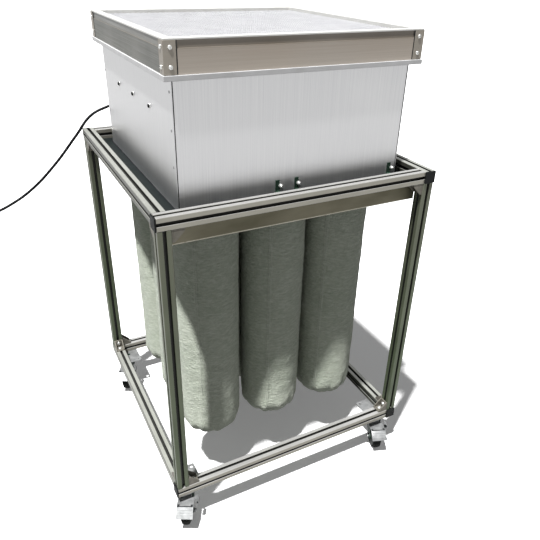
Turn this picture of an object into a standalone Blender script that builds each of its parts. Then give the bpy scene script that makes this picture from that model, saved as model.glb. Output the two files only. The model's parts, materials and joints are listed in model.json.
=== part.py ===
"""Bag dust collector: a sheet-steel fan box with a panel filter on top, standing on a tube sheet
in a T-slot aluminium frame, with felt bags below it and four braked swivel casters.

Metres, +Z up. The origin is on the floor, under the middle of the square frame.
"""

import math

import bmesh
import bpy
from mathutils import Matrix, Vector

# Frame
FRAME_SIDE = 0.700
PROFILE = 0.030
SLOT_MOUTH = 0.008
CASTER_HEIGHT = 0.105
FRAME_TOP = 0.900
CAP_THICKNESS = 0.0035
GAP = 0.0003

# Tube sheet, box, lip and filter
SHEET = 0.0015
TUBE_SHEET_TOP = 0.873
TUBE_SHEET_LOW = 0.8215
BOX_WIDTH = 0.563
BOX_DEPTH = 0.562
BOX_TOP = 1.141
CORNER_FLANGE = 0.020
CORNER_GROOVE = 0.002
LIP_SIDE = 0.602
LIP_HEIGHT = 0.010
FILTER_SIDE = 0.595
FILTER_HEIGHT = 0.063
FILTER_WALL = 0.018

# Bags
BAG_PITCH_X = 0.187
BAG_PITCH_Y = 0.175
BAG_RADIUS = 0.0835
BAG_NECK_RADIUS = 0.0740
BAG_HOLE_RADIUS = 0.0752
BAG_LOW = 0.160

# Fan
IMPELLER_RADIUS = 0.160
IMPELLER_LOW = 0.905
IMPELLER_HIGH = 0.960
SHAFT_RADIUS = 0.008
BLADES = 8

# Casters
CASTER_X = 0.308
CASTER_Y = 0.302
CASTER_TRAIL = 0.045
CASTER_HEADINGS = {
    "front_left": -27.4,
    "front_right": -20.0,
    "back_left": -27.4,
    "back_right": -27.4,
}
WHEEL_RADIUS = 0.0375
WHEEL_HALF_WIDTH = 0.012
AXLE_RADIUS = 0.004
PEDAL_PIN = Vector((0, -0.030, 0.084))
PEDAL_PIN_RADIUS = 0.002

# Mains lead
CORD_DIAMETER = 0.008
CORD_EXIT = Vector((-0.200, BOX_DEPTH / 2, 0.967))
GLAND_REACH = 0.036
COIL_CENTRE = Vector((-0.852, 0.120, 0.0))
COIL_MEAN_RADIUS = 0.044
COIL_ROWS = 3
COIL_HEIGHT = 0.016

HALF = FRAME_SIDE / 2
INNER = HALF - PROFILE
OUT_X = Matrix.Rotation(math.pi / 2, 4, "Y")
OUT_Y = Matrix.Rotation(-math.pi / 2, 4, "X")
# Turns an outline drawn in XY so that it stands in the YZ plane and its thickness runs along X.
STAND_YZ = Matrix(((0, 0, 1, 0), (1, 0, 0, 0), (0, 1, 0, 0), (0, 0, 0, 1)))


def clear_scene():
    for obj in list(bpy.data.objects):
        bpy.data.objects.remove(obj, do_unlink=True)


def new_collection(name):
    collection = bpy.data.collections.new(name)
    bpy.context.scene.collection.children.link(collection)
    return collection


def material(name, colour, roughness, metallic=0.0):
    mat = bpy.data.materials.new(name)
    mat.use_nodes = True
    shader = mat.node_tree.nodes["Principled BSDF"]
    shader.inputs["Base Color"].default_value = (*colour, 1.0)
    shader.inputs["Roughness"].default_value = roughness
    shader.inputs["Metallic"].default_value = metallic
    mat.diffuse_color = (*colour, 1.0)
    return mat


clear_scene()
PARTS = new_collection("bag_dust_collector")
CUTTERS = new_collection("cutters")

ANODISED = material("anodised_aluminium", (0.62, 0.63, 0.60), 0.35, 1.0)
BLACK_PLASTIC = material("black_plastic", (0.02, 0.02, 0.02), 0.5)
STEEL = material("brushed_steel", (0.55, 0.55, 0.57), 0.28, 1.0)
GASKET = material("pale_gasket", (0.82, 0.80, 0.84), 0.6)
FILTER_ALLOY = material("filter_alloy", (0.50, 0.48, 0.43), 0.4, 1.0)
WHITE_MESH = material("white_mesh", (0.86, 0.87, 0.88), 0.5)
PAPER = material("filter_paper", (0.88, 0.88, 0.84), 0.9)
FELT = material("felt", (0.42, 0.46, 0.38), 0.95)
ZINC = material("zinc_plate", (0.78, 0.78, 0.76), 0.35, 1.0)
DARK_STEEL = material("dark_painted_steel", (0.02, 0.035, 0.025), 0.4, 0.3)
TYRE = material("black_tyre", (0.015, 0.017, 0.015), 0.6)
CAST = material("grey_casting", (0.30, 0.31, 0.32), 0.5, 0.8)
CORD_BLACK = material("cord_black", (0.012, 0.012, 0.012), 0.55)


# ---- building blocks -------------------------------------------------------------------------


def add(name, data, mat, location=(0, 0, 0), turn=0.0, parent=None):
    """Puts a mesh or curve into the scene as the named sub-part."""
    obj = bpy.data.objects.new(name, data)
    obj.location = location
    obj.rotation_euler = (0, 0, turn)
    obj.parent = parent
    data.materials.append(mat)
    PARTS.objects.link(obj)
    return obj


def cutter(data, location=(0, 0, 0)):
    obj = bpy.data.objects.new("cutter", data)
    obj.location = location
    obj.hide_render = True
    obj.display_type = "WIRE"
    CUTTERS.objects.link(obj)
    return obj


def combine(obj, other, operation):
    """Cuts the other object out of this one (DIFFERENCE) or joins it on (UNION)."""
    boolean = obj.modifiers.new(operation.lower(), "BOOLEAN")
    boolean.operation = operation
    boolean.solver = "EXACT"
    boolean.object = other


def bevel(obj, width, segments=1):
    modifier = obj.modifiers.new("bevel", "BEVEL")
    modifier.width = width
    modifier.segments = segments
    modifier.limit_method = "ANGLE"
    modifier.angle_limit = math.radians(40)


def box_mesh(low, high):
    low, high = Vector(low), Vector(high)
    shape = bmesh.new()
    size = high - low
    place = Matrix.Translation((low + high) / 2) @ Matrix.Diagonal((*size, 1.0))
    bmesh.ops.create_cube(shape, size=1.0, matrix=place)
    mesh = bpy.data.meshes.new("box")
    shape.to_mesh(mesh)
    shape.free()
    return mesh


def rod_mesh(radius, start, end, segments, axis=Matrix(), spin=0.0):
    """A cylinder from start to end along its own Z, which the axis matrix turns to X or Y."""
    shape = bmesh.new()
    place = axis @ Matrix.Translation((0, 0, (start + end) / 2)) @ Matrix.Rotation(spin, 4, "Z")
    bmesh.ops.create_cone(
        shape, cap_ends=True, segments=segments, radius1=radius, radius2=radius,
        depth=end - start, matrix=place,
    )
    mesh = bpy.data.meshes.new("rod")
    shape.to_mesh(mesh)
    shape.free()
    return mesh


def outline_curve(points, thickness):
    """A flat 2D outline in XY, extruded both ways along Z."""
    curve = bpy.data.curves.new("outline", "CURVE")
    curve.dimensions = "2D"
    curve.fill_mode = "BOTH"
    curve.extrude = thickness / 2
    spline = curve.splines.new("POLY")
    spline.points.add(len(points) - 1)
    for point, (x, y) in zip(spline.points, points):
        point.co = (x, y, 0, 1)
    spline.use_cyclic_u = True
    return curve


def outline_mesh(points, thickness, turn=Matrix()):
    """The same extruded outline as one welded mesh, ready to be cut or joined."""
    curve = outline_curve(points, thickness)
    obj = bpy.data.objects.new("outline", curve)
    CUTTERS.objects.link(obj)
    evaluated = obj.evaluated_get(bpy.context.evaluated_depsgraph_get())
    mesh = bpy.data.meshes.new_from_object(evaluated)
    bpy.data.objects.remove(obj, do_unlink=True)
    bpy.data.curves.remove(curve)
    shape = bmesh.new()
    shape.from_mesh(mesh)
    bmesh.ops.remove_doubles(shape, verts=shape.verts, dist=1e-5)
    bmesh.ops.recalc_face_normals(shape, faces=shape.faces)
    shape.transform(turn)
    shape.to_mesh(mesh)
    shape.free()
    return mesh


def turned(name, profile, steps, mat, location=(0, 0, 0), closed=False, axis="Z", spin=0.0, parent=None):
    """A profile of (radius, height) points, top to bottom, turned about the given axis."""
    shape = bmesh.new()
    verts = [shape.verts.new((radius, 0, height)) for radius, height in profile]
    pairs = list(zip(verts, verts[1:])) + ([(verts[-1], verts[0])] if closed else [])
    for first, second in pairs:
        shape.edges.new((first, second))
    shape.transform(Matrix.Rotation(spin, 4, "Z"))
    if axis == "X":
        shape.transform(OUT_X)
    if axis == "Y":
        shape.transform(OUT_Y)
    mesh = bpy.data.meshes.new(name)
    shape.to_mesh(mesh)
    shape.free()
    obj = add(name, mesh, mat, location, parent=parent)
    screw = obj.modifiers.new("turn", "SCREW")
    screw.axis = axis
    screw.steps = screw.render_steps = steps
    screw.use_merge_vertices = True
    screw.merge_threshold = 0.00001
    screw.use_smooth_shade = steps > 8
    return obj


def square_ring(name, section, mat):
    """A ring with a square plan, from a closed section of (half width, height) points."""
    corner = math.sqrt(2)
    profile = [(half * corner, height) for half, height in section]
    return turned(name, profile, 4, mat, closed=True, spin=math.pi / 4)


def smooth_path(route, spacing):
    """Even points along a Catmull-Rom curve through the route's points."""
    route = [2 * route[0] - route[1], *route, 2 * route[-1] - route[-2]]
    fine = []
    for a, b, c, d in zip(route, route[1:], route[2:], route[3:]):
        for i in range(24):
            t = i / 24
            fine.append(
                b + (c - a) * t / 2
                + (a - 2.5 * b + 2 * c - d / 2) * t**2
                + (1.5 * b - a / 2 - 1.5 * c + d / 2) * t**3
            )
    fine.append(route[-2])
    lengths = [0.0]
    for first, second in zip(fine, fine[1:]):
        lengths.append(lengths[-1] + (second - first).length)
    count = round(lengths[-1] / spacing)
    points = []
    j = 0
    for i in range(count + 1):
        target = lengths[-1] * i / count
        while j < len(lengths) - 2 and lengths[j + 1] < target:
            j += 1
        share = (target - lengths[j]) / (lengths[j + 1] - lengths[j])
        points.append(fine[j].lerp(fine[j + 1], share))
    return points


# ---- T-slot frame ----------------------------------------------------------------------------


def slot_section():
    """The outline of a square profile with one T-slot in each face."""
    half, mouth = PROFILE / 2, SLOT_MOUTH / 2
    lip, wide, floor, edge = 0.002, 0.008, 0.0065, 0.0012
    side = [
        (-half + edge, half),
        (-mouth, half),
        (-mouth, half - lip),
        (-wide, half - lip),
        (-mouth, floor),
        (mouth, floor),
        (wide, half - lip),
        (mouth, half - lip),
        (mouth, half),
        (half - edge, half),
    ]
    outline = []
    for quarter in range(4):
        cos, sin = round(math.cos(quarter * math.pi / 2)), round(math.sin(quarter * math.pi / 2))
        outline += [(x * cos + y * sin, y * cos - x * sin) for x, y in side]
    return outline


def profile_bar(name, middle, length, axis):
    bar = add(name, outline_curve(slot_section(), length), ANODISED, middle)
    if axis == "X":
        bar.rotation_euler = (0, math.pi / 2, 0)
    if axis == "Y":
        bar.rotation_euler = (math.pi / 2, 0, 0)
    return bar


def frame():
    """Four bars butt round in a pinwheel at each level, and each open end has a cap."""
    line = HALF - PROFILE / 2
    shift = (PROFILE - GAP) / 2
    length = FRAME_SIDE - PROFILE - GAP
    cap_at = HALF + GAP + CAP_THICKNESS / 2
    sides = {
        "front": ((-shift, -line), "X", (-cap_at, -line)),
        "right": ((line, -shift), "Y", (line, -cap_at)),
        "back": ((shift, line), "X", (cap_at, line)),
        "left": ((-line, shift), "Y", (-line, cap_at)),
    }
    for level, z in (("bottom", CASTER_HEIGHT + PROFILE / 2), ("top", FRAME_TOP - PROFILE / 2)):
        for side, (middle, axis, cap) in sides.items():
            profile_bar(f"{level}_rail_{side}", (*middle, z), length, axis)
            along_x, along_y = (CAP_THICKNESS, PROFILE, PROFILE), (PROFILE, CAP_THICKNESS, PROFILE)
            size = Vector(along_x if axis == "X" else along_y)
            cover = add(f"end_cap_{level}_{side}", box_mesh(-size / 2, size / 2), BLACK_PLASTIC, (*cap, z))
            bevel(cover, 0.001)
    low, high = CASTER_HEIGHT + PROFILE + GAP, FRAME_TOP - PROFILE - GAP
    for side_y, y in (("front", -line), ("back", line)):
        for side_x, x in (("left", -line), ("right", line)):
            profile_bar(f"post_{side_y}_{side_x}", (x, y, (low + high) / 2), high - low, "Z")


# ---- casters ---------------------------------------------------------------------------------


def caster_plate(label, x, y):
    top, width, depth, thick = CASTER_HEIGHT - GAP, 0.066, 0.092, 0.003
    race_low, race_radius = top - 0.0077, 0.0245
    plate = add(
        f"caster_plate_{label}",
        box_mesh((-width / 2, -depth / 2, top - thick), (width / 2, depth / 2, top)),
        ZINC, (x, y, 0),
    )
    race = cutter(rod_mesh(race_radius, race_low, top - thick / 2, 24), (x, y, 0))
    combine(plate, race, "UNION")
    combine(plate, cutter(rod_mesh(0.0054, race_low - 0.01, top + 0.01, 16), (x, y, 0)), "DIFFERENCE")
    for bolt_x in (-0.023, 0.023):
        for bolt_y in (-0.036, 0.036):
            hole = rod_mesh(0.0043, top - 0.01, top + 0.01, 10)
            combine(plate, cutter(hole, (x + bolt_x, y + bolt_y, 0)), "DIFFERENCE")


def fork_leg(side):
    """One cheek of the fork, in the YZ plane, with a round end about the axle."""
    boss = 0.011
    lower = [
        (-CASTER_TRAIL + boss * math.cos(a), WHEEL_RADIUS + boss * math.sin(a))
        for a in (math.radians(-5 - 34 * i) for i in range(6))
    ]
    outline = [(0.022, 0.0945), (0.020, 0.080), *lower, (-0.036, 0.078), (-0.036, 0.0945)]
    place = Matrix.Translation((side * 0.0156, 0, 0)) @ STAND_YZ
    return outline_mesh(outline, 0.0025, place)


def caster_fork(label, hub):
    """Crown, king pin, two cheeks and the wheel's bolt with its nuts."""
    king_pin = [
        (0, 0.1040), (0.005, 0.1040), (0.005, 0.0967), (0.0235, 0.0967), (0.0235, 0.0920), (0, 0.0920),
    ]
    fork = turned(f"caster_fork_{label}", king_pin, 20, DARK_STEEL, parent=hub)
    for side in (-1, 1):
        leg = cutter(fork_leg(side))
        leg.parent = hub
        combine(fork, leg, "UNION")
    axle_at = Matrix.Translation((0, -CASTER_TRAIL, WHEEL_RADIUS)) @ OUT_X
    for radius, start, end, segments in (
        (AXLE_RADIUS, -0.0200, 0.0200, 16),
        (0.0065, 0.0160, 0.0208, 6),
        (0.0065, -0.0208, -0.0160, 6),
    ):
        bolt = cutter(rod_mesh(radius, start, end, segments, axle_at))
        bolt.parent = hub
        combine(fork, bolt, "UNION")
    hinge_at = Matrix.Translation(PEDAL_PIN) @ OUT_X
    hole = cutter(rod_mesh(PEDAL_PIN_RADIUS + 0.00015, -0.03, 0.03, 16, hinge_at))
    hole.parent = hub
    combine(fork, hole, "DIFFERENCE")


def caster_wheel(label, hub):
    bore, half = AXLE_RADIUS + 0.0003, WHEEL_HALF_WIDTH
    side = [(bore, 0.0135), (0.011, 0.0135), (0.030, half), (0.0362, half - 0.003), (WHEEL_RADIUS, 0.005)]
    profile = side + [(radius, -height) for radius, height in reversed(side)]
    at = (0, -CASTER_TRAIL, WHEEL_RADIUS)
    turned(f"caster_wheel_{label}", profile, 24, TYRE, at, closed=True, axis="X", parent=hub)


def brake_pedal(label, hub):
    """A folded steel pedal on a cross pin; its origin is on the pin."""
    thick, half_width = 0.002, 0.022
    top = -0.002
    outline = [
        (-0.0080, top),
        (-0.0400, top),
        (-0.0625, -0.0230),
        (-0.0612, -0.0245),
        (-0.0392, top - thick),
        (-0.0080, top - thick),
    ]
    plate = outline_mesh(outline, 2 * half_width, STAND_YZ)
    pedal = add(f"brake_pedal_{label}", plate, ZINC, PEDAL_PIN, parent=hub)
    tongue = box_mesh((-0.0130, -0.0120, top - thick), (0.0130, 0.0005, top))
    barrel = rod_mesh(0.0030, -0.0138, 0.0138, 12, OUT_X)
    pin = rod_mesh(PEDAL_PIN_RADIUS, -0.0166, 0.0166, 16, OUT_X)
    for data in (tongue, barrel, pin):
        piece = cutter(data, PEDAL_PIN)
        piece.parent = hub
        combine(pedal, piece, "UNION")


def casters():
    for label, heading in CASTER_HEADINGS.items():
        x = -CASTER_X if label.endswith("left") else CASTER_X
        y = -CASTER_Y if label.startswith("front") else CASTER_Y
        caster_plate(label, x, y)
        hub = bpy.data.objects.new(f"caster_{label}_pivot", None)
        hub.location = (x, y, 0)
        hub.rotation_euler = (0, 0, math.radians(heading))
        PARTS.objects.link(hub)
        caster_fork(label, hub)
        caster_wheel(label, hub)
        brake_pedal(label, hub)


# ---- tube sheet, box and filter --------------------------------------------------------------


def bag_places():
    """Row and column names with their centres, front row first."""
    for row, y in zip(("front", "middle", "back"), (-BAG_PITCH_Y, 0, BAG_PITCH_Y)):
        for column, x in zip(("left", "centre", "right"), (-BAG_PITCH_X, 0, BAG_PITCH_X)):
            yield f"{row}_{column}", x, y


def tube_sheet():
    """A pan upside down: a holed deck with flanges turned down inside the top rails."""
    edge = INNER - GAP
    section = [
        (edge, TUBE_SHEET_TOP),
        (edge, TUBE_SHEET_LOW),
        (edge - 0.010, TUBE_SHEET_LOW),
        (edge - 0.010, TUBE_SHEET_LOW + SHEET),
        (edge - SHEET, TUBE_SHEET_LOW + SHEET),
        (edge - SHEET, TUBE_SHEET_TOP - SHEET),
    ]
    corner = math.sqrt(2)
    folds = [(half * corner, z) for half, z in section]
    profile = [(0, TUBE_SHEET_TOP), *folds, (0, TUBE_SHEET_TOP - SHEET)]
    sheet = turned("tube_sheet", profile, 4, STEEL, spin=math.pi / 4)
    for _, x, y in bag_places():
        hole = rod_mesh(BAG_HOLE_RADIUS, TUBE_SHEET_TOP - 0.01, TUBE_SHEET_TOP + 0.01, 24)
        combine(sheet, cutter(hole, (x, y, 0)), "DIFFERENCE")


def folded_side(name, side):
    """A side panel as deep as the box, with a flange tucked in behind the front and the back panel."""
    outer, inner = side * BOX_WIDTH / 2, side * (BOX_WIDTH / 2 - SHEET)
    reach = side * (BOX_WIDTH / 2 - CORNER_FLANGE)
    over = BOX_DEPTH / 2
    under = over - SHEET - GAP
    back = [(inner, over), (inner, under), (reach, under), (reach, under - SHEET), (inner, under - SHEET)]
    front = [(x, -y) for x, y in reversed(back)]
    return upright_panel(name, [(outer, -over), (outer, over), *back, *front])


def upright_panel(name, outline):
    low, high = TUBE_SHEET_TOP + GAP, BOX_TOP - GAP
    return add(name, outline_curve(outline, high - low), STEEL, (0, 0, (low + high) / 2))


def box_panels():
    """Four upright sheets: the front and the back one stop short of the sides, which leaves a groove."""
    folded_side("box_panel_left", -1)
    folded_side("box_panel_right", 1)
    half = BOX_WIDTH / 2 - SHEET - CORNER_GROOVE
    over = BOX_DEPTH / 2
    face = over - SHEET
    upright_panel("box_panel_front", [(-half, -over), (half, -over), (half, -face), (-half, -face)])
    low, high = TUBE_SHEET_TOP + GAP, BOX_TOP - GAP
    back = add("box_panel_back", box_mesh((-half, face, low), (half, over, high)), STEEL)
    hole = rod_mesh(0.0086, CORD_EXIT.y - 0.02, CORD_EXIT.y + 0.02, 16, OUT_Y)
    combine(back, cutter(hole, (CORD_EXIT.x, 0, CORD_EXIT.z)), "DIFFERENCE")


def lip_and_filter():
    half, low = LIP_SIDE / 2, BOX_TOP
    section = [(half, low + LIP_HEIGHT), (half, low), (half - 0.032, low), (half - 0.032, low + LIP_HEIGHT)]
    square_ring("box_lip", section, GASKET)

    half = FILTER_SIDE / 2
    low = BOX_TOP + LIP_HEIGHT + GAP
    high = low + FILTER_HEIGHT
    rim, band = high - 0.0025, high - 0.017
    inner = half - FILTER_WALL
    section = [
        (half, high), (half, rim), (half - 0.0015, rim), (half - 0.0015, band), (half, band),
        (half, low), (inner - 0.008, low), (inner - 0.008, low + 0.003), (inner, low + 0.003),
        (inner, high),
    ]
    square_ring("filter_frame", section, FILTER_ALLOY)
    edge = inner - GAP
    pack_high = high - 0.010
    add("filter_pack", box_mesh((-edge, -edge, low + 0.003 + GAP), (edge, edge, pack_high)), PAPER)
    guard = (pack_high + GAP, pack_high + GAP + 0.002)
    add("filter_face_guard", box_mesh((-edge, -edge, guard[0]), (edge, edge, guard[1])), WHITE_MESH)


# ---- fan -------------------------------------------------------------------------------------


def fan_motor():
    """A bridge across the box that carries the motor, with its shaft pointing down."""
    reach = BOX_WIDTH / 2 - SHEET - GAP
    motor_low = IMPELLER_HIGH + 0.012
    motor_high = motor_low + 0.075
    bridge_high = motor_high + 0.020
    bridge = box_mesh((-reach, -0.055, motor_high - 0.002), (reach, 0.055, bridge_high))
    motor = add("fan_motor", bridge, CAST)
    combine(motor, cutter(rod_mesh(0.075, motor_low, motor_high, 32)), "UNION")
    combine(motor, cutter(rod_mesh(SHAFT_RADIUS, IMPELLER_LOW, motor_low + 0.01, 16)), "UNION")


def impeller():
    """Hub, back plate and backward-curved blades, joined into one wheel."""
    plate_low = IMPELLER_HIGH - 0.003
    profile = [
        (SHAFT_RADIUS + 0.0003, IMPELLER_HIGH),
        (IMPELLER_RADIUS, IMPELLER_HIGH),
        (IMPELLER_RADIUS, plate_low),
        (0.026, plate_low),
        (0.022, IMPELLER_LOW + 0.004),
        (SHAFT_RADIUS + 0.0003, IMPELLER_LOW + 0.004),
    ]
    wheel = turned("fan_impeller", profile, 32, CAST, closed=True)
    inner, thick, lean = 0.085, 0.0025, math.radians(38)
    spine = []
    for i in range(5):
        radius = inner + (IMPELLER_RADIUS - 0.003 - inner) * i / 4
        angle = lean * (i / 4) ** 1.3
        spine.append(Vector((radius * math.cos(angle), radius * math.sin(angle))))
    outline = [p - p.orthogonal().normalized() * thick / 2 for p in spine]
    outline += [p + p.orthogonal().normalized() * thick / 2 for p in reversed(spine)]
    height = plate_low + 0.001 - IMPELLER_LOW
    for i in range(BLADES):
        turn = Matrix.Rotation(2 * math.pi * i / BLADES, 4, "Z")
        place = turn @ Matrix.Translation((0, 0, IMPELLER_LOW + height / 2))
        combine(wheel, cutter(outline_mesh([tuple(p) for p in outline], height, place)), "UNION")


# ---- bags ------------------------------------------------------------------------------------


def bags():
    """Each bag is a plain body with a neck that snaps into the tube sheet."""
    collar_low = TUBE_SHEET_TOP - SHEET - GAP
    profile = [
        (0, TUBE_SHEET_TOP + 0.003),
        (BAG_NECK_RADIUS, TUBE_SHEET_TOP + 0.003),
        (BAG_NECK_RADIUS, collar_low),
        (BAG_RADIUS, collar_low),
        (BAG_RADIUS, BAG_LOW + 0.055),
        (BAG_RADIUS * 0.96, BAG_LOW + 0.028),
        (BAG_RADIUS * 0.80, BAG_LOW + 0.012),
        (BAG_RADIUS * 0.40, BAG_LOW + 0.002),
        (0, BAG_LOW),
    ]
    for label, x, y in bag_places():
        turned(f"filter_bag_{label}", profile, 24, FELT, (x, y, 0))


# ---- mains lead ------------------------------------------------------------------------------


def cord_route():
    """From the gland, out and down past the frame's corner, and along the floor to the coil."""
    start = CORD_EXIT + Vector((0, GLAND_REACH + GAP, 0))
    return [
        start,
        start + Vector((0, 0.010, 0)),
        start + Vector((0, 0.020, 0)),
        Vector((-0.2075, 0.3565, 0.9660)),
        Vector((-0.2300, 0.3700, 0.9615)),
        Vector((-0.2650, 0.3720, 0.9510)),
        Vector((-0.317, 0.370, 0.930)),
        Vector((-0.366, 0.370, 0.877)),
        Vector((-0.439, 0.370, 0.797)),
        Vector((-0.519, 0.370, 0.728)),
        Vector((-0.588, 0.370, 0.690)),
        Vector((-0.660, 0.368, 0.664)),
        Vector((-0.725, 0.360, 0.620)),
        Vector((-0.772, 0.348, 0.540)),
        Vector((-0.793, 0.334, 0.420)),
        Vector((-0.800, 0.318, 0.280)),
        Vector((-0.800, 0.296, 0.140)),
        Vector((-0.800, 0.264, 0.050)),
        Vector((-0.800, 0.222, 0.012)),
        Vector((-0.800, 0.185, 0.0044)),
        Vector((-0.800, 0.1495, 0.0043)),
    ]


def power_cord():
    curve = bpy.data.curves.new("power_cord", "CURVE")
    curve.dimensions = "3D"
    curve.bevel_depth = CORD_DIAMETER / 2
    curve.bevel_resolution = 2
    curve.use_fill_caps = True
    points = smooth_path(cord_route(), 2.5 * CORD_DIAMETER)
    spline = curve.splines.new("POLY")
    spline.points.add(len(points) - 1)
    for point, place in zip(spline.points, points):
        point.co = (*place, 1)
    add("power_cord", curve, CORD_BLACK)


def cord_coil():
    half = COIL_ROWS * CORD_DIAMETER / 2
    low, high, edge = GAP, COIL_HEIGHT + GAP, 0.003
    inner, outer = COIL_MEAN_RADIUS - half, COIL_MEAN_RADIUS + half
    section = [
        (inner, high - edge), (inner + edge, high), (outer - edge, high), (outer, high - edge),
        (outer, low + edge), (outer - edge, low), (inner + edge, low), (inner, low + edge),
    ]
    turned("cord_coil", section, 24, CORD_BLACK, COIL_CENTRE, closed=True)


def cord_gland():
    """Lock nut inside the panel, neck through it, dome nut outside and a tapered sleeve."""
    wall = SHEET + 2 * GAP
    profile = [
        (0, GLAND_REACH), (0.0055, GLAND_REACH), (0.0085, 0.0145), (0.0105, 0.0120), (0.0120, 0.0060),
        (0.0120, GAP), (0.0080, GAP), (0.0080, GAP - wall), (0.0120, GAP - wall),
        (0.0120, -0.007), (0, -0.007),
    ]
    turned("cord_gland", profile, 12, BLACK_PLASTIC, CORD_EXIT, axis="Y")


def power_plug():
    """A moulded plug lying on the floor beside the coil, with its blades pointing away from it."""
    x, y, z = COIL_CENTRE.x - 0.052, 0.1498, 0.0125
    plug = turned(
        "power_plug",
        [(0, 0.024), (0.0050, 0.024), (0.0042, 0), (0, 0)],
        16, BLACK_PLASTIC, (x, y, 0.0050), axis="Y",
    )
    combine(plug, cutter(box_mesh((x - 0.0125, y + 0.0230, GAP), (x + 0.0125, y + 0.055, 2 * z))), "UNION")
    for side in (-1, 1):
        blade_x = x + side * 0.00635
        low, high = (blade_x - 0.00075, y + 0.054, z - 0.003), (blade_x + 0.00075, y + 0.072, z + 0.003)
        blade = box_mesh(low, high)
        combine(plug, cutter(blade), "UNION")
    combine(plug, cutter(rod_mesh(0.0024, y + 0.054, y + 0.074, 12, OUT_Y), (x, 0, z + 0.0062)), "UNION")


frame()
casters()
tube_sheet()
box_panels()
lip_and_filter()
fan_motor()
impeller()
bags()
cord_gland()
power_cord()
cord_coil()
power_plug()
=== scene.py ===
"""The bag dust collector's looks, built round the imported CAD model. Metres, +Z up, floor at z = 0."""

import json
import math

import bmesh
import bpy
from mathutils import Matrix, Vector, noise


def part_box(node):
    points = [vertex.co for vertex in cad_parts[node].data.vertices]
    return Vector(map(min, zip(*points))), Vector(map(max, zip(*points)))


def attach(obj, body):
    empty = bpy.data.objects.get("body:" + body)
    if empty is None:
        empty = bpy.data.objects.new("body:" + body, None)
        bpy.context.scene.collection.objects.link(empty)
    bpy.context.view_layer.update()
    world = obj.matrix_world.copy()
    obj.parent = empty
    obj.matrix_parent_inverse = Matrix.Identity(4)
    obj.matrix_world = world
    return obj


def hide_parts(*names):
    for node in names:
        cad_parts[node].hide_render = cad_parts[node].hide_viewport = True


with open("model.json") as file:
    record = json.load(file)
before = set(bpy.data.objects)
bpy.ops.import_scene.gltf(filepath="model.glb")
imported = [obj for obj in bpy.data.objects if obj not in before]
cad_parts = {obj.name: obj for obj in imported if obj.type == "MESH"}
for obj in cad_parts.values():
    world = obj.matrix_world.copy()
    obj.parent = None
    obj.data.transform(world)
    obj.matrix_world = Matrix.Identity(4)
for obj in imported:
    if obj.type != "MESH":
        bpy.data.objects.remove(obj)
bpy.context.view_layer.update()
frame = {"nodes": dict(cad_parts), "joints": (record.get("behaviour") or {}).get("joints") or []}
NODES = frame["nodes"]
JOINTS = {joint["name"]: joint for joint in frame["joints"]}
CORNERS = ("front_left", "front_right", "back_left", "back_right")


# ---- camera, light and floor -----------------------------------------------------------------


CAMERA_AT = (-0.6166, -1.3209, 1.3441)
CAMERA_AZIMUTH, CAMERA_PITCH, CAMERA_ROLL = math.radians(28.08), math.radians(29.23), math.radians(1.52)
CAMERA_LENS = 37.32
KEY_DIRECTION = (0.30, 0.18, -1.0)
KEY_STRENGTH = 8.0
FILL_SEEN, FILL_ON_MATT = 0.62, 0.13
FLOOR_REACH = 60


def camera():
    azimuth, pitch, roll = CAMERA_AZIMUTH, CAMERA_PITCH, CAMERA_ROLL
    forward = Vector((
        math.sin(azimuth) * math.cos(pitch), math.cos(azimuth) * math.cos(pitch), -math.sin(pitch)
    ))
    level = Vector((math.cos(azimuth), -math.sin(azimuth), 0))
    upright = level.cross(forward)
    right = level * math.cos(roll) + upright * math.sin(roll)
    up = upright * math.cos(roll) - level * math.sin(roll)
    data = bpy.data.cameras.new("camera")
    data.sensor_width = 36
    data.lens = CAMERA_LENS
    data.clip_start = 0.05
    cam = bpy.data.objects.new("camera", data)
    turn = Matrix((right, up, -forward)).transposed().to_4x4()
    cam.matrix_world = Matrix.Translation(CAMERA_AT) @ turn
    bpy.context.scene.collection.objects.link(cam)
    bpy.context.scene.camera = cam


def lights():
    """A high key from the front left, and a pale room that is dimmer to matt surfaces than to mirrors."""
    key = bpy.data.lights.new("key", "SUN")
    key.energy = KEY_STRENGTH
    key.angle = math.radians(2.5)
    sun = bpy.data.objects.new("key", key)
    sun.rotation_mode = "QUATERNION"
    sun.rotation_quaternion = Vector(KEY_DIRECTION).to_track_quat("-Z", "Y")
    bpy.context.scene.collection.objects.link(sun)

    world = bpy.data.worlds.new("studio")
    world.use_nodes = True
    tree = world.node_tree
    background = tree.nodes["Background"]
    background.inputs["Color"].default_value = (0.97, 0.985, 1.0, 1.0)
    fill = tree.nodes.new("ShaderNodeMapRange")
    fill.inputs["To Min"].default_value = FILL_SEEN
    fill.inputs["To Max"].default_value = FILL_ON_MATT
    path = tree.nodes.new("ShaderNodeLightPath")
    tree.links.new(path.outputs["Is Diffuse Ray"], fill.inputs["Value"])
    tree.links.new(fill.outputs["Result"], background.inputs["Strength"])
    bpy.context.scene.world = world
    bpy.context.scene.view_settings.view_transform = "Standard"


# ---- shader building -------------------------------------------------------------------------


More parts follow.
